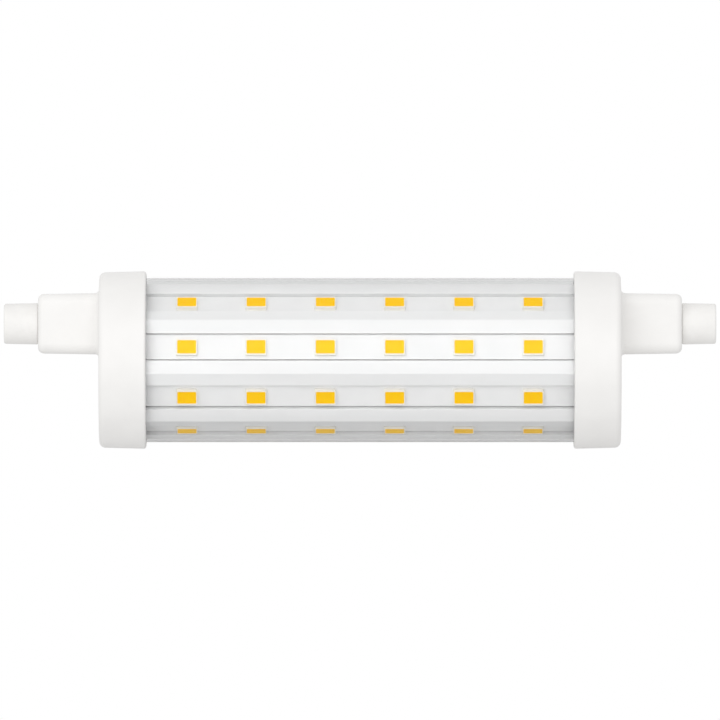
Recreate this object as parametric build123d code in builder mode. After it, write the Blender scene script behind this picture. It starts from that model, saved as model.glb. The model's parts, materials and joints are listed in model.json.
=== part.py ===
"""Double-ended linear LED bulb: a clear tube over a nine-sided LED core, with an offset neck at each end.

X runs along the bulb, +Z points to the side that the contact necks are offset to, and the origin is the
middle of the tube's axis. Lengths are in millimetres and angles in degrees.
"""

import os
from math import cos, radians, sin, sqrt

from build123d import *

# Overall length, and the depth of each contact in its tip
bulb_length = 118.0
recess_depth = 1.9

# Ceramic contact tips
tip_diameter = 6.8
tip_length = 5.7
tip_edge_chamfer = 0.3
recess_diameter = 4.2
spigot_diameter = 5.0
spigot_clearance = 0.05

# Contact pins in the tips
pin_diameter = 3.0
pin_clearance = 0.05
pin_overhang = 0.8

# Moulded end caps
skirt_wall = 1.05
skirt_clearance = 0.05
cap_width = 7.8
cap_end_wall = 1.8
cap_edge_round = 1.1
cap_edge_flats = 2
cap_rim_chamfer = 0.35
neck_size = 10.1
neck_length = 10.1
neck_offset = 6.0
neck_draft = 0.7
neck_corner_round = 1.7
neck_end_chamfer = 0.5
neck_wall = 1.7
neck_end_wall = 2.5
finger_length = 3.0
finger_width = 3.6
finger_clearance = 0.1

# Clear tube
tube_diameter = 27.2
tube_wall = 0.3

# Extruded core that carries the LED strips
facet_count = 9
core_roll = 9.8
core_clearance = 0.08
core_ridge_chamfer = 0.12
core_wall = 1.3
slot_lip = 0.62

# LED strips, each against one side of its slot, and the link board that joins them
strip_width = 4.2
strip_thickness = 1.0
strip_near_gap = 0.04
strip_far_gap = 0.26
link_board_thickness = 1.2
link_board_margin = 0.2
link_board_opening = 3.0

# LED packages
led_count = 6
led_pitch = 11.45
led_length = 3.5
led_width = 2.8
led_height = 0.7
led_corner_cut = 0.3
window_length = 3.14
window_width = 2.24
window_depth = 0.45
window_taper = 20.0
phosphor_dip = 0.05

# Driver board in its insulating sleeve
sleeve_wall = 0.5
sleeve_clearance = 0.1
board_length = 68.0
board_thickness = 1.2
board_drop = 1.4
board_clearance = 0.02

# Parts on the driver board, each at a share of the board's length and a place across it
fuse_length = 8.4
fuse_width = 4.0
fuse_height = 4.2
fuse_at = (-0.375 * board_length, -3.2)
bridge_length = 4.8
bridge_width = 4.0
bridge_height = 2.5
bridge_at = (-0.375 * board_length, 3.4)
choke_length = 6.4
choke_width = 6.4
choke_height = 6.0
choke_at = (-0.24 * board_length, 0)
capacitor_diameter = 8.0
capacitor_length = 15.0
capacitor_at = (-0.06 * board_length, 0)
chip_length = 4.9
chip_width = 3.9
chip_height = 1.5
chip_at = (0.13 * board_length, 3.0)
diode_length = 4.3
diode_width = 2.6
diode_height = 2.2
diode_at = (0.13 * board_length, -3.4)
inductor_length = 9.6
inductor_width = 8.0
inductor_height = 6.4
inductor_yoke = 1.8
inductor_coil_width = 6.4
inductor_at = (0.28 * board_length, 0)
package_taper = 6.0

# Wires from the contacts to the driver board, and from there to the link board
wire_sides = 6
wire_bend = 2.5
contact_wire_diameter = 1.4
contact_wire_landing = 1.5
feed_wire_diameter = 1.0
feed_wire_landing = 6.0
feed_wire_clearance = 0.15
feed_wire_angle = 40.0

# Places worked out from the sizes above, on the +X half
bulb_end = bulb_length / 2
contact_face = bulb_end - recess_depth
tip_root = bulb_end - tip_length
spigot_end = tip_root - neck_end_wall
pin_end = spigot_end - pin_overhang
cap_face = tip_root - neck_length
cap_rim = cap_face - cap_width
cap_seat = cap_face - cap_end_wall
tube_radius = tube_diameter / 2
tube_bore = tube_radius - tube_wall
skirt_bore = tube_radius + skirt_clearance
cap_radius = skirt_bore + skirt_wall
core_ridge = tube_bore - core_clearance
core_apothem = core_ridge * cos(radians(180 / facet_count))
core_end = cap_seat - link_board_thickness
core_length = cap_seat + core_end
slot_width = strip_width + strip_near_gap + strip_far_gap
strip_top = core_apothem - slot_lip
strip_bottom = strip_top - strip_thickness
core_bore = strip_bottom - core_wall
led_top = strip_top + led_height
finger_inside = strip_top + finger_clearance
finger_outside = sqrt((tube_bore - finger_clearance) ** 2 - (finger_width / 2) ** 2)
sleeve_outside = core_bore - sleeve_clearance
sleeve_bore = sleeve_outside - sleeve_wall
board_top = -board_drop
board_bottom = board_top - board_thickness
board_width = 2 * sqrt((sleeve_bore - board_clearance) ** 2 - board_bottom**2)
board_end = board_length / 2
feed_reach = sleeve_bore - feed_wire_clearance - feed_wire_diameter / 2
feed_spread = feed_reach * cos(radians(feed_wire_angle))
feed_rise = feed_reach * sin(radians(feed_wire_angle))

# Direction of the first facet in a section across the bulb, and the turn of its polygon
first_facet = 180 - core_roll
core_turn = first_facet - 180 / facet_count

# Planes and axis of the contact at the +X end, and the driver board's upper face
contact_axis = Axis((0, 0, neck_offset), (1, 0, 0))
contact_section = Plane((0, 0, neck_offset), x_dir=(1, 0, 0), z_dir=(0, -1, 0))
board_face = Plane.XY.offset(board_top)


def across(x):
    """The plane across the bulb at a place along it."""
    return Plane.YZ.offset(x)


def facet_plane(index, radius):
    """The plane of one facet at a radius: local x along the bulb, local z outward."""
    angle = radians(core_roll + index * 360 / facet_count)
    outward = Vector(0, -cos(angle), sin(angle))
    return Plane(outward * radius, x_dir=(1, 0, 0), z_dir=outward)


def route_start(route):
    """The plane across a wire's route at its first point."""
    return Plane(route.line @ 0, z_dir=route.line % 0)


def save(builder, name):
    """Labels a finished piece and writes it under its name."""
    builder.part.label = name
    export_step(builder.part, f"parts/{name}.step")


def save_pair(builder, name):
    """Writes the piece of the +X end, and its mirror image for the other end."""
    save(builder, f"right_{name}")
    with BuildPart() as mirrored:
        add(builder.part)
        mirror(about=Plane.YZ, mode=Mode.REPLACE)
    save(mirrored, f"left_{name}")


os.makedirs("parts", exist_ok=True)

# End cap: a cup round the tube's end, with a hollow square neck set off its axis
edge_angles = [radians(90 * step / cap_edge_flats) for step in range(cap_edge_flats + 1)]
rounded_edge = [
    (cap_face - cap_edge_round * (1 - sin(angle)), cap_radius - cap_edge_round * (1 - cos(angle)))
    for angle in edge_angles
]
with BuildPart() as end_cap:
    with BuildSketch():
        with BuildLine():
            Polyline(
                (cap_rim, skirt_bore),
                (cap_rim, cap_radius - cap_rim_chamfer),
                (cap_rim + cap_rim_chamfer, cap_radius),
                *rounded_edge,
                (cap_face, 0),
                (cap_seat, 0),
                (cap_seat, skirt_bore),
                close=True,
            )
        make_face()
    revolve(axis=Axis.X)

    with BuildSketch(across(cap_face)):
        with Locations((0, neck_offset)):
            RectangleRounded(neck_size, neck_size, neck_corner_round)
    extrude(amount=neck_length, taper=neck_draft)
    chamfer(end_cap.faces().sort_by(Axis.X)[-1].edges(), neck_end_chamfer)

    with BuildSketch(across(cap_seat)):
        with Locations((0, neck_offset)):
            Rectangle(neck_size - 2 * neck_wall, neck_size - 2 * neck_wall)
    extrude(amount=spigot_end - cap_seat, mode=Mode.SUBTRACT)
    with BuildSketch(across(tip_root)):
        with Locations((0, neck_offset)):
            Circle(spigot_diameter / 2 + spigot_clearance)
    extrude(amount=-neck_end_wall, mode=Mode.SUBTRACT)

    # Fingers that hold the core by the slot in every third facet
    with BuildSketch(across(cap_seat)):
        with PolarLocations(finger_inside, facet_count // 3, start_angle=first_facet):
            Rectangle(finger_outside - finger_inside, finger_width, align=(Align.MIN, Align.CENTER))
    extrude(amount=-finger_length)
save_pair(end_cap, "end_cap")

# Ceramic tip: a turned body on a spigot in the neck, with the contact recessed in its end
with BuildPart() as contact_insulator:
    with BuildSketch(contact_section):
        with BuildLine():
            Polyline(
                (spigot_end, pin_diameter / 2 + pin_clearance),
                (spigot_end, spigot_diameter / 2),
                (tip_root, spigot_diameter / 2),
                (tip_root, tip_diameter / 2),
                (bulb_end - tip_edge_chamfer, tip_diameter / 2),
                (bulb_end, tip_diameter / 2 - tip_edge_chamfer),
                (bulb_end, recess_diameter / 2),
                (contact_face, recess_diameter / 2),
                (contact_face, pin_diameter / 2 + pin_clearance),
                close=True,
            )
        make_face()
    revolve(axis=contact_axis)
save_pair(contact_insulator, "contact_insulator")

# Contact pin: through the tip, with its end at the bottom of the recess
with BuildPart() as contact_pin:
    with BuildSketch(across(pin_end)):
        with Locations((0, neck_offset)):
            Circle(pin_diameter / 2)
    extrude(amount=contact_face - pin_end)
save_pair(contact_pin, "contact_pin")

# Contact wire: from the pin through the hollow neck, and down to the end of the driver board
wire_landing = board_end - contact_wire_landing
with BuildPart() as contact_wire:
    with BuildLine() as contact_route:
        Polyline(
            (pin_end, 0, neck_offset),
            (wire_landing + wire_bend, 0, neck_offset),
            (wire_landing, 0, neck_offset - wire_bend),
            (wire_landing, 0, board_top),
        )
    with BuildSketch(route_start(contact_route)):
        RegularPolygon(contact_wire_diameter / 2, wire_sides)
    sweep(transition=Transition.RIGHT)
save_pair(contact_wire, "contact_wire")

# Clear tube, seated on the end walls of both caps
with BuildPart() as clear_tube:
    with BuildSketch(across(-cap_seat)):
        Circle(tube_radius)
        Circle(tube_bore, mode=Mode.SUBTRACT)
    extrude(amount=2 * cap_seat)
save(clear_tube, "clear_tube")

# Core: an extruded prism with a slot in each facet, and a bore for the driver
with BuildPart() as led_core:
    with BuildSketch(across(-cap_seat)) as core_section:
        RegularPolygon(core_ridge, facet_count, rotation=core_turn)
        chamfer(core_section.vertices(), core_ridge_chamfer)
        with PolarLocations(strip_bottom, facet_count, start_angle=first_facet):
            Rectangle(core_apothem, slot_width, align=(Align.MIN, Align.CENTER), mode=Mode.SUBTRACT)
        RegularPolygon(core_bore, facet_count, major_radius=False, rotation=core_turn, mode=Mode.SUBTRACT)
    extrude(amount=core_length)
save(led_core, "led_core")

# LED strips, with their packages in a row on each and the phosphor that fills each package's window
for facet in range(facet_count):
    with BuildPart(facet_plane(facet, strip_bottom)) as led_strip:
        with Locations((-cap_seat, strip_far_gap - slot_width / 2)):
            Box(core_length, strip_width, strip_thickness, align=(Align.MIN, Align.MIN, Align.MIN))
    save(led_strip, f"led_strip_{facet + 1}")

    with BuildPart() as led_windows:
        with BuildSketch(facet_plane(facet, led_top)):
            with GridLocations(led_pitch, led_pitch, led_count, 1):
                Rectangle(window_length, window_width)
        extrude(amount=-window_depth, taper=window_taper)

    with BuildPart() as led_housings:
        with BuildSketch(facet_plane(facet, strip_top)):
            with GridLocations(led_pitch, led_pitch, led_count, 1):
                Polygon(
                    (-led_length / 2, -led_width / 2),
                    (led_length / 2, -led_width / 2),
                    (led_length / 2, led_width / 2 - led_corner_cut),
                    (led_length / 2 - led_corner_cut, led_width / 2),
                    (-led_length / 2, led_width / 2),
                    align=None,
                )
        extrude(amount=led_height)
        add(led_windows.part, mode=Mode.SUBTRACT)
    save(led_housings, f"led_housings_{facet + 1}")

    with BuildPart() as led_phosphor:
        add(led_windows.part)
        split(bisect_by=facet_plane(facet, led_top - phosphor_dip), keep=Keep.BOTTOM)
    save(led_phosphor, f"led_phosphor_{facet + 1}")

# Link board: a plate between the core's end and the +X cap, which joins the ends of the strips
with BuildPart() as link_board:
    with BuildSketch(across(core_end)):
        RegularPolygon(strip_top - link_board_margin, facet_count, major_radius=False, rotation=core_turn)
        with Locations((0, neck_offset)):
            Rectangle(link_board_opening, link_board_opening, mode=Mode.SUBTRACT)
    extrude(amount=link_board_thickness)
save(link_board, "link_board")

# Insulating sleeve that lines the core's bore
with BuildPart() as insulating_sleeve:
    with BuildSketch(across(-cap_seat)):
        RegularPolygon(sleeve_outside, facet_count, major_radius=False, rotation=core_turn)
        RegularPolygon(sleeve_bore, facet_count, major_radius=False, rotation=core_turn, mode=Mode.SUBTRACT)
    extrude(amount=core_length)
save(insulating_sleeve, "insulating_sleeve")

# Driver board, held by its edges in the sleeve
with BuildPart(Plane.XY.offset(board_bottom)) as driver_board:
    Box(board_length, board_width, board_thickness, align=(Align.CENTER, Align.CENTER, Align.MIN))
save(driver_board, "driver_board")

# Fuse, bridge rectifier, filter choke, driver chip and diode: moulded packages with drafted sides
for name, place, length, width, height in (
    ("input_fuse", fuse_at, fuse_length, fuse_width, fuse_height),
    ("bridge_rectifier", bridge_at, bridge_length, bridge_width, bridge_height),
    ("filter_choke", choke_at, choke_length, choke_width, choke_height),
    ("driver_chip", chip_at, chip_length, chip_width, chip_height),
    ("output_diode", diode_at, diode_length, diode_width, diode_height),
):
    with BuildPart() as package:
        with BuildSketch(board_face):
            with Locations(place):
                Rectangle(length, width)
        extrude(amount=height, taper=package_taper)
    save(package, name)

# Smoothing capacitor: a can that lies on the board
capacitor_x, capacitor_y = capacitor_at
can_centre = (capacitor_x, capacitor_y, board_top + capacitor_diameter / 2)
with BuildPart() as smoothing_capacitor:
    with BuildSketch(Plane(can_centre, z_dir=(1, 0, 0))):
        Circle(capacitor_diameter / 2)
    extrude(amount=capacitor_length / 2, both=True)
save(smoothing_capacitor, "smoothing_capacitor")

# Power inductor: a coil on the middle of a closed ferrite frame
inductor_x, inductor_y = inductor_at
with BuildPart() as power_inductor:
    with BuildSketch(Plane((inductor_x, inductor_y, board_top), x_dir=(1, 0, 0), z_dir=(0, -1, 0))):
        Rectangle(inductor_length, inductor_height, align=(Align.CENTER, Align.MIN))
        with Locations((0, inductor_yoke)):
            Rectangle(
                inductor_length - 2 * inductor_yoke,
                inductor_height - 2 * inductor_yoke,
                align=(Align.CENTER, Align.MIN),
                mode=Mode.SUBTRACT,
            )
    extrude(amount=inductor_width / 2, both=True)
    with BuildSketch(Plane((inductor_x, inductor_y, board_top + inductor_height / 2), z_dir=(1, 0, 0))):
        Rectangle(inductor_coil_width, inductor_height - 2 * inductor_yoke)
    extrude(amount=inductor_length / 2 - inductor_yoke, both=True)
save(power_inductor, "power_inductor")

# Feed wires: from the driver board to the link board
feed_landing = board_end - feed_wire_landing
for name, side in (("positive_feed_wire", 1), ("negative_feed_wire", -1)):
    with BuildPart() as feed_wire:
        with BuildLine() as feed_route:
            Polyline(
                (feed_landing, side * feed_spread, board_top),
                (feed_landing, side * feed_spread, feed_rise - wire_bend),
                (feed_landing + wire_bend, side * feed_spread, feed_rise),
                (core_end, side * feed_spread, feed_rise),
            )
        with BuildSketch(route_start(feed_route)):
            RegularPolygon(feed_wire_diameter / 2, wire_sides)
        sweep(transition=Transition.RIGHT)
    save(feed_wire, name)
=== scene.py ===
import json
import math

import bmesh
import bpy
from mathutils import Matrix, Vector
from mathutils.geometry import tessellate_polygon


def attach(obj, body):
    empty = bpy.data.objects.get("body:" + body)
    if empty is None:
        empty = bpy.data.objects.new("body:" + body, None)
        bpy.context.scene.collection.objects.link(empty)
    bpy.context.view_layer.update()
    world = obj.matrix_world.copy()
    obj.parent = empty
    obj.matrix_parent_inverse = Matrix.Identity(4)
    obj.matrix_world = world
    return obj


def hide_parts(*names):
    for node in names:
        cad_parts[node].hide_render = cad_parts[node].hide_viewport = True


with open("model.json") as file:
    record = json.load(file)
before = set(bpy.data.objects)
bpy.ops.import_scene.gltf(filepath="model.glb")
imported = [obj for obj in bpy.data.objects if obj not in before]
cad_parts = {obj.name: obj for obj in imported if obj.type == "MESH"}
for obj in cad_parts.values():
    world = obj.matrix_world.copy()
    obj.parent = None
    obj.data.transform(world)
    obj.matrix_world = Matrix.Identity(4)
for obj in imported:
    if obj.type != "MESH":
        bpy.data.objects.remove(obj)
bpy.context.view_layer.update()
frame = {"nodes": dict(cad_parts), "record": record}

# Lengths are in millimetres, apart from the studio's, and become metres when a mesh is made
MM = 0.001

# Places along the bulb on the +X half
bulb_end = 59.0
contact_face = 57.1
tip_root = 53.3
spigot_end = 50.8
pin_end = 50.0
cap_face = 43.2
cap_seat = 41.4
core_end = 40.2
cap_rim = 35.4

# Clear tube
tube_radius = 13.6
tube_bore = 13.3
tube_edge = 0.08
tube_segments = 360

# End caps, whose neck stands above the tube's axis
cap_radius = 14.7
skirt_bore = 13.65
skirt_draft = 0.16
rim_round = 0.45
rim_inner_round = 0.15
face_round = 1.05
neck_offset = 6.0
neck_half = 5.05
neck_corner = 1.7
neck_taper = 0.13
neck_root_round = 0.75
neck_end_round = 0.95
neck_corner_steps = 10
neck_side_steps = 12
hollow_half = 3.35
hollow_corner = 0.4
spigot_bore = 2.55
spigot_lead = 0.2

# Ceramic tips
spigot_radius = 2.5
spigot_edge = 0.15
tip_root_radius = 3.42
tip_root_round = 0.3
tip_end_radius = 3.32
tip_end_round = 0.35
recess_radius = 2.1
recess_edge_round = 0.2
recess_foot_round = 0.15
pin_bore = 1.55
pin_bore_edge = 0.07
tip_segments = 96

# Contact pins, with the dimple's points as (depth, radius)
pin_radius = 1.5
pin_edge = 0.12
pin_round = 0.25
dimple = [(0.02, 0.9), (0.12, 0.7), (0.16, 0.4)]
pin_segments = 64

# Core with its facets and slots, and the strips in the slots
facets = 9
facet_step = 360 / facets
core_roll = 9.8
core_ridge = 13.22
core_apothem = core_ridge * math.cos(math.radians(facet_step / 2))
facet_half = core_ridge * math.sin(math.radians(facet_step / 2))
ridge_round = 0.3
slot_half = 2.25
slot_round = 0.1
strip_depth = 0.62
strip_thickness = 1.0
strip_top = core_apothem - strip_depth
strip_bottom = strip_top - strip_thickness
strip_low = -1.99
strip_high = 2.21
strip_round = 0.06
core_wall = 1.3
core_bore = strip_bottom - core_wall

# Fingers of the caps, in every third slot over the strips
finger_facets = range(0, facets, 3)
finger_length = 3.0
finger_half = 1.8
finger_clearance = 0.1
finger_bottom = strip_top + finger_clearance
finger_top = 13.07

# LEDs: the outlines of the housing, with its marked corner first, and of its window are given as
# half the length, half the width and the corner radii
led_count = 6
led_pitch = 11.45
led_places = [led_pitch * (i - (led_count - 1) / 2) for i in range(led_count)]
led_height = 0.7
led_top = strip_top + led_height
led_corner_steps = 5
housing_outline = (1.75, 1.4, (0.34, 0.14, 0.14, 0.14))
window_outline = (1.57, 1.12, (0.22, 0.22, 0.22, 0.22))

# Profiles of an LED: inset along X, inset across, cut from the corner radii, and depth below the top
housing_steps = [
    (0, 0, 0, led_height),
    (0.02, 0.04, 0.02, 0.1),
    (0.03, 0.055, 0.03, 0.03),
    (0.06, 0.09, 0.06, 0),
]
window_steps = [
    (-0.02, -0.02, -0.02, 0),
    (0, 0, 0, 0.02),
    (0.15, 0.15, 0.1, 0.45),
]
fill_steps = [
    (0.16, 0.16, 0.1, 0.44),
    (0.012, 0.012, 0, 0.045),
    (0.05, 0.05, 0, 0.055),
    (0.14, 0.14, 0, 0.068),
    (0.35, 0.35, 0, 0.08),
    (0.7, 0.7, 0, 0.085),
]

# Studio, in metres, watts and shares of white
floor_half = 3.0
floor_height = -cap_radius * MM
key_place = (-0.25, -1.15, 0.3)
key_width = 1.4
key_height = 1.2
key_power = 6.2
world_light = 0.77
world_seen = 1.0

# Camera, with lens and sensor in millimetres and clipping in metres
photo_pixels = 720
pixels_per_mm = 6.034
camera_lens = 1000
camera_sensor = 36
clip_near = 0.1
clip_far = 10

# Clear plastic: its index, the lamp light that it lets through to the inside, and its absorption per metre
tube_index = 1.16
tube_passes = 0.92
tube_absorption = 330.0

# The phosphor glows faintly yellow by its own emission, a painted glow that is the same under any lamp, so it
# is brighter than a pigment
phosphor_painted_glow = (1.0, 0.5, 0.0)
phosphor_painted_glow_strength = 0.07

# Most of a noise's values lie between these two
NOISE_LOW = 0.3
NOISE_HIGH = 0.7
NOISE_ROUGHNESS = 0.55

# Edges between faces that turn by more than this many degrees stay sharp
SHARP_ANGLE = 32


# Node materials

def new_material(name):
    mat = bpy.data.materials.new(name)
    mat.use_nodes = True
    nodes, links = mat.node_tree.nodes, mat.node_tree.links
    shader = nodes["Principled BSDF"]
    coords = nodes.new("ShaderNodeTexCoord")
    return mat, nodes, links, shader, coords.outputs["Object"]


def noise(nodes, links, coords, size_mm, detail=3.0, stretch=(1, 1, 1)):
    """A noise whose features are about size_mm across, and longer along an axis by stretch."""
    mapping = nodes.new("ShaderNodeMapping")
    mapping.inputs["Scale"].default_value = [1 / (k * size_mm * MM) for k in stretch]
    links.new(coords, mapping.inputs["Vector"])
    tex = nodes.new("ShaderNodeTexNoise")
    tex.inputs["Scale"].default_value = 1.0
    tex.inputs["Detail"].default_value = detail
    tex.inputs["Roughness"].default_value = NOISE_ROUGHNESS
    links.new(mapping.outputs["Vector"], tex.inputs["Vector"])
    return tex.outputs["Fac"]


def blend_colours(nodes, links, factor, dark, light):
    ramp = nodes.new("ShaderNodeValToRGB")
    ramp.color_ramp.elements[0].position = NOISE_LOW
    ramp.color_ramp.elements[0].color = (*dark, 1)
    ramp.color_ramp.elements[1].position = NOISE_HIGH
    ramp.color_ramp.elements[1].color = (*light, 1)
    links.new(factor, ramp.inputs["Fac"])
    return ramp.outputs["Color"]


def span(nodes, links, factor, low, high):
    remap = nodes.new("ShaderNodeMapRange")
    remap.inputs["From Min"].default_value = NOISE_LOW
    remap.inputs["From Max"].default_value = NOISE_HIGH
    remap.inputs["To Min"].default_value = low
    remap.inputs["To Max"].default_value = high
    links.new(factor, remap.inputs["Value"])
    return remap.outputs["Result"]


def bump(nodes, links, shader, height, depth_mm, strength):
    node = nodes.new("ShaderNodeBump")
    node.inputs["Distance"].default_value = depth_mm * MM
    node.inputs["Strength"].default_value = strength
    links.new(height, node.inputs["Height"])
    links.new(node.outputs["Normal"], shader.inputs["Normal"])


def surface(
    name, dark, light, rough, cloud_mm, grain_mm, depth_mm,
    strength=0.5, metallic=0.0, specular=0.5, stretch=(1, 1, 1),
):
    """An opaque material: clouded colour, and a fine grain in the roughness and the normal."""
    mat, nodes, links, shader, coords = new_material(name)
    cloud = noise(nodes, links, coords, cloud_mm, stretch=stretch)
    grain = noise(nodes, links, coords, grain_mm, detail=2.0, stretch=stretch)
    links.new(blend_colours(nodes, links, cloud, dark, light), shader.inputs["Base Color"])
    links.new(span(nodes, links, grain, *rough), shader.inputs["Roughness"])
    shader.inputs["Metallic"].default_value = metallic
    shader.inputs["Specular IOR Level"].default_value = specular
    bump(nodes, links, shader, grain, depth_mm, strength)
    return mat


def clear_plastic(name):
    """Drawn plastic with faint streaks along X, greyer where it is seen edge-on."""
    mat, nodes, links, shader, coords = new_material(name)
    shader.inputs["Transmission Weight"].default_value = 1.0
    shader.inputs["IOR"].default_value = tube_index
    drawn = noise(nodes, links, coords, 1.6, stretch=(14, 1, 1))
    tint = blend_colours(nodes, links, drawn, (0.985, 0.99, 0.99), (1, 1, 1))
    links.new(tint, shader.inputs["Base Color"])
    links.new(span(nodes, links, drawn, 0.0, 0.008), shader.inputs["Roughness"])
    clear = nodes.new("ShaderNodeBsdfTransparent")
    clear.inputs["Color"].default_value = (*grey(tube_passes), 1)
    path = nodes.new("ShaderNodeLightPath")
    mix = nodes.new("ShaderNodeMixShader")
    links.new(path.outputs["Is Shadow Ray"], mix.inputs["Fac"])
    links.new(shader.outputs["BSDF"], mix.inputs[1])
    links.new(clear.outputs["BSDF"], mix.inputs[2])
    links.new(mix.outputs["Shader"], nodes["Material Output"].inputs["Surface"])
    depth = nodes.new("ShaderNodeVolumeAbsorption")
    depth.inputs["Color"].default_value = (0, 0, 0, 1)
    depth.inputs["Density"].default_value = tube_absorption
    links.new(depth.outputs["Volume"], nodes["Material Output"].inputs["Volume"])
    return mat


def phosphor_fill(name):
    """Yellow grains in clear silicone, with a faint painted glow."""
    mat = surface(
        name, dark=(1.0, 0.555, 0.001), light=(1.0, 0.615, 0.003), rough=(0.28, 0.4),
        cloud_mm=0.9, grain_mm=0.06, depth_mm=0.006, strength=0.35, specular=0.1,
    )
    shader = mat.node_tree.nodes["Principled BSDF"]
    # Painted light: a faint constant yellow emission, though the LEDs are off
    shader.inputs["Emission Color"].default_value = (*phosphor_painted_glow, 1)
    shader.inputs["Emission Strength"].default_value = phosphor_painted_glow_strength
    return mat


def grey(level):
    return level, level, level


surfaces = {
    "cap_plastic": dict(
        dark=(0.857, 0.847, 0.832), light=(0.887, 0.877, 0.862), rough=(0.42, 0.52),
        cloud_mm=7.0, grain_mm=0.09, depth_mm=0.004,
    ),
    "tip_ceramic": dict(
        dark=(0.845, 0.833, 0.815), light=(0.885, 0.873, 0.855), rough=(0.5, 0.64),
        cloud_mm=2.2, grain_mm=0.12, depth_mm=0.012,
    ),
    "contact_metal": dict(
        dark=(0.6, 0.58, 0.54), light=(0.74, 0.72, 0.68), rough=(0.22, 0.36),
        cloud_mm=0.8, grain_mm=0.05, depth_mm=0.004, metallic=1.0,
    ),
    "core_coating": dict(
        dark=grey(0.88), light=grey(0.91), rough=(0.45, 0.55),
        cloud_mm=6.0, grain_mm=0.1, depth_mm=0.004, stretch=(5, 1, 1),
    ),
    # Painted shade: a darker grey for the slot wall beside each strip, standing in for the shade in the slot
    "core_slot_shade": dict(
        dark=grey(0.76), light=grey(0.82), rough=(0.4, 0.52),
        cloud_mm=1.5, grain_mm=0.08, depth_mm=0.004, stretch=(12, 1, 1),
    ),
    "strip_mask": dict(
        dark=grey(0.85), light=grey(0.88), rough=(0.42, 0.52),
        cloud_mm=3.0, grain_mm=0.12, depth_mm=0.004,
    ),
    "led_plastic": dict(
        dark=(0.93, 0.885, 0.79), light=(0.95, 0.915, 0.84), rough=(0.4, 0.5),
        cloud_mm=0.6, grain_mm=0.05, depth_mm=0.003,
    ),
    "wire_insulation": dict(
        dark=(0.74, 0.72, 0.68), light=(0.8, 0.79, 0.76), rough=(0.4, 0.5),
        cloud_mm=1.5, grain_mm=0.1, depth_mm=0.006,
    ),
    "sleeve_film": dict(
        dark=(0.7, 0.7, 0.66), light=(0.77, 0.77, 0.73), rough=(0.35, 0.5),
        cloud_mm=3.0, grain_mm=0.2, depth_mm=0.01,
    ),
    "board_laminate": dict(
        dark=(0.05, 0.21, 0.1), light=(0.08, 0.29, 0.14), rough=(0.3, 0.42),
        cloud_mm=1.2, grain_mm=0.25, depth_mm=0.02,
    ),
    "fuse_case": dict(
        dark=(0.2, 0.36, 0.3), light=(0.27, 0.44, 0.38), rough=(0.3, 0.45),
        cloud_mm=1.5, grain_mm=0.1, depth_mm=0.006,
    ),
    "black_moulding": dict(
        dark=grey(0.022), light=grey(0.04), rough=(0.5, 0.65),
        cloud_mm=0.8, grain_mm=0.06, depth_mm=0.006,
    ),
    "can_sleeve": dict(
        dark=(0.03, 0.03, 0.04), light=(0.05, 0.05, 0.065), rough=(0.25, 0.4),
        cloud_mm=2.0, grain_mm=0.15, depth_mm=0.008,
    ),
    "ferrite": dict(
        dark=(0.06, 0.06, 0.065), light=(0.1, 0.1, 0.105), rough=(0.55, 0.75),
        cloud_mm=0.9, grain_mm=0.08, depth_mm=0.01,
    ),
}
looks = {name: surface(name, **look) for name, look in surfaces.items()}
looks["clear_plastic"] = clear_plastic("clear_plastic")
looks["phosphor"] = phosphor_fill("phosphor")

# CAD nodes that stay take the same materials as the pieces
for part in frame["record"]["subparts"]:
    node = frame["nodes"][part["node"]]
    node.data.materials.clear()
    node.data.materials.append(looks[part["material_slot"]])


# Mesh building

def add_piece(name, points, faces, slot, replaced, face_looks=None, extra=()):
    """A smooth-shaded piece, where face_looks picks between the slot's material and extra ones."""
    mesh = bpy.data.meshes.new(name)
    mesh.from_pydata([(x * MM, y * MM, z * MM) for x, y, z in points], [], faces)
    mesh.materials.append(looks[slot])
    for look in extra:
        mesh.materials.append(looks[look])
    if face_looks:
        mesh.polygons.foreach_set("material_index", face_looks)
    mesh.polygons.foreach_set("use_smooth", [True] * len(mesh.polygons))
    whole = bmesh.new()
    whole.from_mesh(mesh)
    bmesh.ops.recalc_face_normals(whole, faces=whole.faces)
    whole.to_mesh(mesh)
    whole.free()
    mesh.update()
    mesh.set_sharp_from_angle(angle=math.radians(SHARP_ANGLE))
    piece = bpy.data.objects.new(name, mesh)
    bpy.context.collection.objects.link(piece)
    even = piece.modifiers.new("even_normals", "WEIGHTED_NORMAL")
    even.keep_sharp = True
    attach(piece, "root")
    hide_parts(*replaced)


def add_both_ends(name, points, faces, slot):
    """The piece of the +X end and its mirror image."""
    add_piece(f"right_{name}_body", points, faces, slot, [f"right_{name}"])
    flipped = [(-x, y, z) for x, y, z in points]
    turned = [tuple(reversed(face)) for face in faces]
    add_piece(f"left_{name}_body", flipped, turned, slot, [f"left_{name}"])


def ring_faces(ring_count, size, closed):
    """Quads between neighbouring rings, the last one joined to the first when closed."""
    faces = []
    for r in range(ring_count if closed else ring_count - 1):
        a, b = r * size, (r + 1) % ring_count * size
        for i in range(size):
            j = (i + 1) % size
            faces.append((a + i, a + j, b + j, b + i))
    return faces


def end_faces(ring_count, size):
    """The first and the last ring of an open stack as faces."""
    last = (ring_count - 1) * size
    return [tuple(reversed(range(size))), tuple(range(last, last + size))]


def shifted(faces, first):
    return [tuple(first + k for k in face) for face in faces]


def corner_arc(centre, radius, start, stop, steps):
    """Points on an arc of a profile, angles in degrees."""
    angles = [math.radians(start + (stop - start) * k / steps) for k in range(steps + 1)]
    return [(centre[0] + radius * math.cos(a), centre[1] + radius * math.sin(a)) for a in angles]


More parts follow.
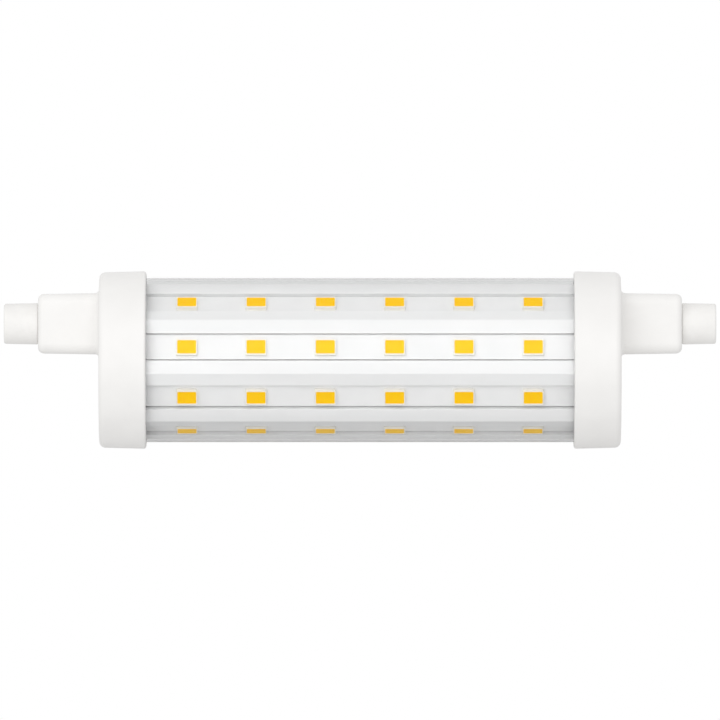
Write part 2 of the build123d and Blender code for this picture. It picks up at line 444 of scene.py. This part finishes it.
def lathe(profile, centre_z, segments, hollow=True):
    """A profile of (x, radius) turned round an axis along X: closed when hollow, or with flat ends."""
    points = []
    for x, r in profile:
        for i in range(segments):
            a = 2 * math.pi * i / segments
            points.append((x, r * math.cos(a), centre_z + r * math.sin(a)))
    faces = ring_faces(len(profile), segments, hollow)
    if not hollow:
        faces += end_faces(len(profile), segments)
    return points, faces


def prism(loops, x0, x1):
    """A bar along X from an outer loop and any holes: faces of the outer side first, and of the ends last."""
    points = [(x, y, z) for x in (x0, x1) for loop in loops for y, z in loop]
    total = sum(len(loop) for loop in loops)
    faces, first = [], 0
    for loop in loops:
        for i in range(len(loop)):
            j = (i + 1) % len(loop)
            faces.append((first + i, first + j, total + first + j, total + first + i))
        first += len(loop)
    for tri in tessellate_polygon([[Vector((y, z, 0)) for y, z in loop] for loop in loops]):
        faces.append(tuple(tri))
        faces.append(tuple(total + k for k in reversed(tri)))
    return points, faces


def on_facet(index, s, h):
    """The (y, z) place at a height h over the axis and a place s across a facet."""
    a = math.radians(core_roll + index * facet_step)
    return -h * math.cos(a) + s * math.sin(a), h * math.sin(a) + s * math.cos(a)


# Clear tube
tube_profile = [
    (-cap_seat, tube_bore),
    (cap_seat, tube_bore),
    (cap_seat, tube_radius - tube_edge),
    (cap_seat - tube_edge, tube_radius),
    (-cap_seat + tube_edge, tube_radius),
    (-cap_seat, tube_radius - tube_edge),
]
points, faces = lathe(tube_profile, 0, tube_segments)
add_piece("tube_body", points, faces, "clear_plastic", ["clear_tube"])


# End caps: one skin from the skirt over the face and the neck to the hollow inside

def square_loop(half, radius):
    """A square with rounded corners, as (y, z) points from the neck's axis."""
    straight = half - radius
    side = [(half, -straight + 2 * straight * k / neck_side_steps) for k in range(neck_side_steps)]
    arc = corner_arc((straight, straight), radius, 0, 90, neck_corner_steps)[:-1]
    loop = []
    for quarter in range(4):
        turn = math.radians(90 * quarter)
        for u, v in side + arc:
            y = u * math.cos(turn) - v * math.sin(turn)
            z = u * math.sin(turn) + v * math.cos(turn)
            loop.append((y, z))
    return loop


# Directions of the neck's points from its axis
neck_rays = []
for u, v in square_loop(neck_half, neck_corner):
    length = math.hypot(u, v)
    neck_rays.append((u / length, v / length))

# Angles round the tube's axis at which those rays meet the cap's edge
edge_turns = []
for u, v in neck_rays:
    reach = -neck_offset * v + math.sqrt((neck_offset * v) ** 2 + cap_radius**2 - neck_offset**2)
    edge_turns.append(math.atan2(neck_offset + reach * v, reach * u))


def cap_circle(x, radius):
    return [(x, radius * math.cos(t), radius * math.sin(t)) for t in edge_turns]


def neck_square(x, half, radius):
    return [(x, u, neck_offset + v) for u, v in square_loop(half, radius)]


def neck_circle(x, radius):
    return [(x, radius * u, neck_offset + radius * v) for u, v in neck_rays]


face_radius = cap_radius - skirt_draft
neck_end_half = neck_half - neck_taper
skirt_profile = [(cap_seat, skirt_bore)]
skirt_profile += corner_arc(
    (cap_rim + rim_inner_round, skirt_bore + rim_inner_round), rim_inner_round, 270, 180, steps=4
)
skirt_profile += corner_arc((cap_rim + rim_round, cap_radius - rim_round), rim_round, 180, 90, steps=8)
skirt_profile += corner_arc((cap_face - face_round, face_radius - face_round), face_round, 90, 0, steps=12)
neck_root = corner_arc((cap_face + neck_root_round, neck_root_round), neck_root_round, 180, 270, steps=8)
neck_end = corner_arc((tip_root - neck_end_round, -neck_end_round), neck_end_round, 90, 0, steps=10)

cap_rings = [cap_circle(x, r) for x, r in skirt_profile]
cap_rings += [neck_square(x, neck_half + off, neck_corner + off) for x, off in neck_root]
cap_rings += [neck_square(x, neck_end_half + off, neck_corner + off) for x, off in neck_end]
cap_rings += [
    neck_circle(tip_root, spigot_bore + spigot_lead),
    neck_circle(tip_root - spigot_lead, spigot_bore),
    neck_circle(spigot_end, spigot_bore),
    neck_square(spigot_end, hollow_half, hollow_corner),
    neck_square(cap_seat, hollow_half, hollow_corner),
]
ring_size = len(neck_rays)
cap_points = [point for ring in cap_rings for point in ring]
cap_faces = ring_faces(len(cap_rings), ring_size, False)

# The end wall inside closes the skin, and three fingers stand on it over the strips
finger_section = [
    (-finger_half, finger_bottom),
    (finger_half, finger_bottom),
    (finger_half, finger_top),
    (-finger_half, finger_top),
]
finger_corners = len(finger_section)
wall_rings = [range(ring_size), range(len(cap_points) - ring_size, len(cap_points))]
for index in finger_facets:
    foot = [on_facet(index, s, h) for s, h in finger_section]
    first = len(cap_points)
    cap_points += [(x, y, z) for x in (cap_seat, cap_seat - finger_length) for y, z in foot]
    cap_faces += shifted(ring_faces(2, finger_corners, False), first)
    cap_faces.append(tuple(range(first + finger_corners, first + 2 * finger_corners)))
    wall_rings.append(range(first, first + finger_corners))
wall_places = [k for ring in wall_rings for k in ring]
for tri in tessellate_polygon([[Vector((*cap_points[k][1:], 0)) for k in ring] for ring in wall_rings]):
    cap_faces.append(tuple(wall_places[k] for k in tri))
add_both_ends("end_cap", cap_points, cap_faces, "cap_plastic")

# Ceramic tips, with the contact's recess and a small groove where they meet the neck
tip_profile = [
    (spigot_end, pin_bore),
    (spigot_end, spigot_radius - spigot_edge),
    (spigot_end + spigot_edge, spigot_radius),
    (tip_root, spigot_radius),
]
tip_profile += corner_arc(
    (tip_root + tip_root_round, tip_root_radius - tip_root_round), tip_root_round, 180, 90, steps=5
)
tip_profile += corner_arc(
    (bulb_end - tip_end_round, tip_end_radius - tip_end_round), tip_end_round, 90, 0, steps=7
)
tip_profile += corner_arc(
    (bulb_end - recess_edge_round, recess_radius + recess_edge_round), recess_edge_round, 0, -90, steps=4
)
tip_profile += corner_arc(
    (contact_face + recess_foot_round, recess_radius - recess_foot_round), recess_foot_round, 90, 180, steps=4
)
tip_profile += [(contact_face, pin_bore + pin_bore_edge), (contact_face - pin_bore_edge, pin_bore)]
add_both_ends("contact_insulator", *lathe(tip_profile, neck_offset, tip_segments), "tip_ceramic")

# Contact pins, rounded at the end that the lampholder touches and turned with a shallow dimple
pin_profile = [(pin_end, pin_radius - pin_edge), (pin_end + pin_edge, pin_radius)]
pin_profile += corner_arc((contact_face - pin_round, pin_radius - pin_round), pin_round, 90, 0, steps=5)
pin_profile += [(contact_face - depth, radius) for depth, radius in dimple]
add_both_ends("contact_pin", *lathe(pin_profile, neck_offset, pin_segments, hollow=False), "contact_metal")


# Core, strips and LEDs

def rounded_outline(corners):
    """A closed outline of (point, radius, steps, look) corners, each rounded, and the look of each side."""
    outline, sides = [], []
    count = len(corners)
    for i, (point, radius, steps, look) in enumerate(corners):
        here = Vector(point)
        before = (Vector(corners[i - 1][0]) - here).normalized()
        after = (Vector(corners[(i + 1) % count][0]) - here).normalized()
        half = before.angle(after) / 2
        back = radius / math.tan(half)
        start, stop = here + before * back, here + after * back
        centre = here + (before + after).normalized() * (radius / math.sin(half))
        for k in range(steps + 1):
            ray = (start - centre).normalized().slerp((stop - centre).normalized(), k / steps)
            outline.append(tuple(centre + ray * radius))
            sides.append(look if k == steps else min(look, corners[i - 1][3]))
    return outline, sides


# Core: white, apart from the wall of each slot that its strip lies against, which takes a darker grey as
# painted shade in the slot
WHITE, PAINTED_SHADE = 0, 1
corners = []
for index in range(facets):
    corners += [
        (on_facet(index, -facet_half, core_apothem), ridge_round, 4, WHITE),
        (on_facet(index, -slot_half, core_apothem), slot_round, 3, WHITE),
        (on_facet(index, -slot_half, strip_bottom), slot_round, 2, WHITE),
        # This wall gets the darker grey: painted shade, not a different finish
        (on_facet(index, slot_half, strip_bottom), slot_round, 2, PAINTED_SHADE),
        (on_facet(index, slot_half, core_apothem), slot_round, 3, WHITE),
    ]
outline, sides = rounded_outline(corners)
bore_half = core_bore * math.tan(math.radians(facet_step / 2))
bore = [on_facet(index, -bore_half, core_bore) for index in range(facets)]
points, faces = prism([outline, bore[::-1]], -cap_seat, core_end)
face_looks = sides + [WHITE] * (len(faces) - len(sides))
add_piece(
    "core_body", points, faces, "core_coating", ["led_core"], face_looks=face_looks, extra=["core_slot_shade"]
)

# Strips with softened edges
strip_section = [
    (strip_low, strip_bottom),
    (strip_high, strip_bottom),
    (strip_high, strip_top),
    (strip_low, strip_top),
]
for index in range(facets):
    corners = [(on_facet(index, s, h), strip_round, 3, WHITE) for s, h in strip_section]
    points, faces = prism([rounded_outline(corners)[0]], -cap_seat, core_end)
    add_piece(f"strip_{index + 1}", points, faces, "strip_mask", [f"led_strip_{index + 1}"])


def led_loop(half_x, half_s, radii):
    """A rectangle with its own radius at each corner, as (x, s) points."""
    loop = []
    for sx, ss, radius, start in zip((1, -1, -1, 1), (1, 1, -1, -1), radii, (0, 90, 180, 270)):
        centre = (sx * (half_x - radius), ss * (half_s - radius))
        loop += corner_arc(centre, radius, start, start + 90, led_corner_steps)
    return loop


def led_levels(outline, steps):
    """The loops of an outline at the steps of a profile, with their heights over the axis."""
    half_x, half_s, radii = outline
    levels = []
    for inset_x, inset_s, cut, depth in steps:
        loop = led_loop(half_x - inset_x, half_s - inset_s, [r - cut for r in radii])
        levels.append((loop, led_top - depth))
    return levels


def add_row(name, index, levels, slot, node):
    """A closed body at each LED's place along a facet, from a stack of loops."""
    size = len(levels[0][0])
    body = ring_faces(len(levels), size, False) + end_faces(len(levels), size)
    points, faces = [], []
    for place in led_places:
        faces += shifted(body, len(points))
        for loop, h in levels:
            points += [(place + x, *on_facet(index, s, h)) for x, s in loop]
    add_piece(name, points, faces, slot, [node])


housing_levels = led_levels(housing_outline, housing_steps) + led_levels(window_outline, window_steps)
fill_levels = led_levels(window_outline, fill_steps)
for index in range(facets):
    number = index + 1
    add_row(f"led_bodies_{number}", index, housing_levels, "led_plastic", f"led_housings_{number}")
    add_row(f"led_fill_{number}", index, fill_levels, "phosphor", f"led_phosphor_{number}")


# Floor, light and camera

def floor_material(name):
    mat, nodes, links, shader, coords = new_material(name)
    cloud = noise(nodes, links, coords, 400.0)
    links.new(blend_colours(nodes, links, cloud, grey(0.87), grey(0.89)), shader.inputs["Base Color"])
    links.new(span(nodes, links, cloud, 0.75, 0.85), shader.inputs["Roughness"])
    shader.inputs["Specular IOR Level"].default_value = 0.2
    return mat


floor_signs = ((-1, -1), (1, -1), (1, 1), (-1, 1))
floor_points = [(sx * floor_half, sy * floor_half, floor_height) for sx, sy in floor_signs]
floor_mesh = bpy.data.meshes.new("floor")
floor_mesh.from_pydata(floor_points, [], [(0, 1, 2, 3)])
floor_mesh.materials.append(floor_material("studio_floor"))
floor = bpy.data.objects.new("floor", floor_mesh)
bpy.context.collection.objects.link(floor)
# As over a light table: the floor takes the bulb's shadow, but does not shade the bulb from below
floor.visible_diffuse = False
floor.visible_transmission = False
floor.visible_shadow = False


def facing_bulb(place):
    """The rotation of a lamp or camera that looks from a place at the bulb's middle."""
    return (-Vector(place)).to_track_quat("-Z", "Y").to_euler()


key = bpy.data.lights.new("key", "AREA")
key.shape = "RECTANGLE"
key.size = key_width
key.size_y = key_height
key.energy = key_power
key_lamp = bpy.data.objects.new("key", key)
key_lamp.location = key_place
key_lamp.rotation_euler = facing_bulb(key_place)
bpy.context.collection.objects.link(key_lamp)

# World: plain grey light on surfaces, white where the camera, a gloss or the clear tube sees it
world = bpy.data.worlds.new("studio")
bpy.context.scene.world = world
world.use_nodes = True
nodes, links = world.node_tree.nodes, world.node_tree.links
lit = nodes["Background"]
seen = nodes.new("ShaderNodeBackground")
for background, strength in ((lit, world_light), (seen, world_seen)):
    background.inputs["Color"].default_value = (1, 1, 1, 1)
    background.inputs["Strength"].default_value = strength
path = nodes.new("ShaderNodeLightPath")
sees = path.outputs["Is Camera Ray"]
for kind in ("Is Glossy Ray", "Is Transmission Ray"):
    either = nodes.new("ShaderNodeMath")
    either.operation = "MAXIMUM"
    links.new(sees, either.inputs[0])
    links.new(path.outputs[kind], either.inputs[1])
    sees = either.outputs[0]
mix = nodes.new("ShaderNodeMixShader")
links.new(sees, mix.inputs["Fac"])
links.new(lit.outputs["Background"], mix.inputs[1])
links.new(seen.outputs["Background"], mix.inputs[2])
links.new(mix.outputs["Shader"], nodes["World Output"].inputs["Surface"])

# Camera: a long lens level with the floor, so that the floor shows as no more than its edge
picture_width = photo_pixels / pixels_per_mm * MM
camera = bpy.data.objects.new("camera", bpy.data.cameras.new("camera"))
camera.data.lens = camera_lens
camera.data.sensor_width = camera_sensor
camera.data.clip_start = clip_near
camera.data.clip_end = clip_far
camera.location = (0, -picture_width * camera_lens / camera_sensor, floor_height)
camera.rotation_euler = facing_bulb(camera.location)
bpy.context.collection.objects.link(camera)
bpy.context.scene.camera = camera
bpy.context.scene.view_settings.view_transform = "Standard"
